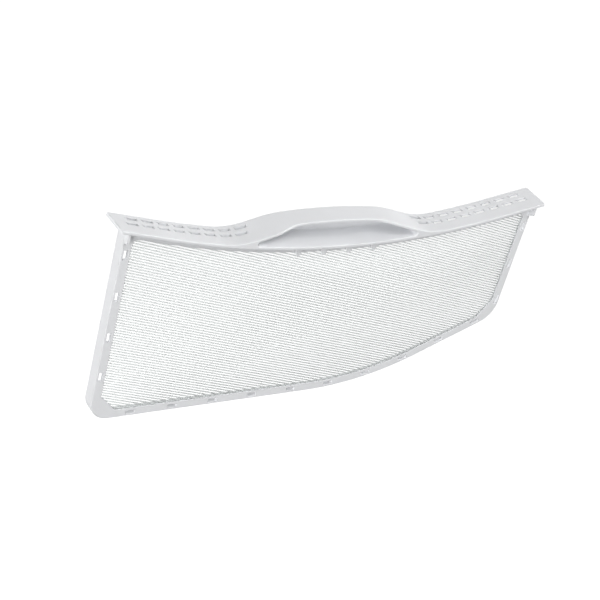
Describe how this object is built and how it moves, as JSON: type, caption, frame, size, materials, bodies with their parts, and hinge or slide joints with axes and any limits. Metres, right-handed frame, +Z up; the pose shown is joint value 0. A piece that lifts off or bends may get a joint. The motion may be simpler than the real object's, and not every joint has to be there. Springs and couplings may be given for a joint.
{
  "type": "tumble dryer lint filter",
  "caption": "Slide-in lint filter for a tumble dryer: a white moulded frame with a sagging vented rail, an arched handle over a finger pocket and a flat blade that holds a woven screen.",
  "frame": {"origin": "on the underside of the rail, at the middle of its length and of the blade's depth, where the blade enters the dryer's slot", "axes": "+X along the rail to the right, seen from the pocket's open side; +Y from the pocket's open side to the back; +Z up, out of the slot, with the blade hanging down along -Z"},
  "size_m": [0.451, 0.032, 0.2009],
  "materials": {
    "white_moulding": "satin, as moulded",
    "screen_thread": "woven white thread"
  },
  "bodies": {
    "root": {"filter_frame": "white_moulding", "mesh_screen": "screen_thread"}
  },
  "joints": []
}
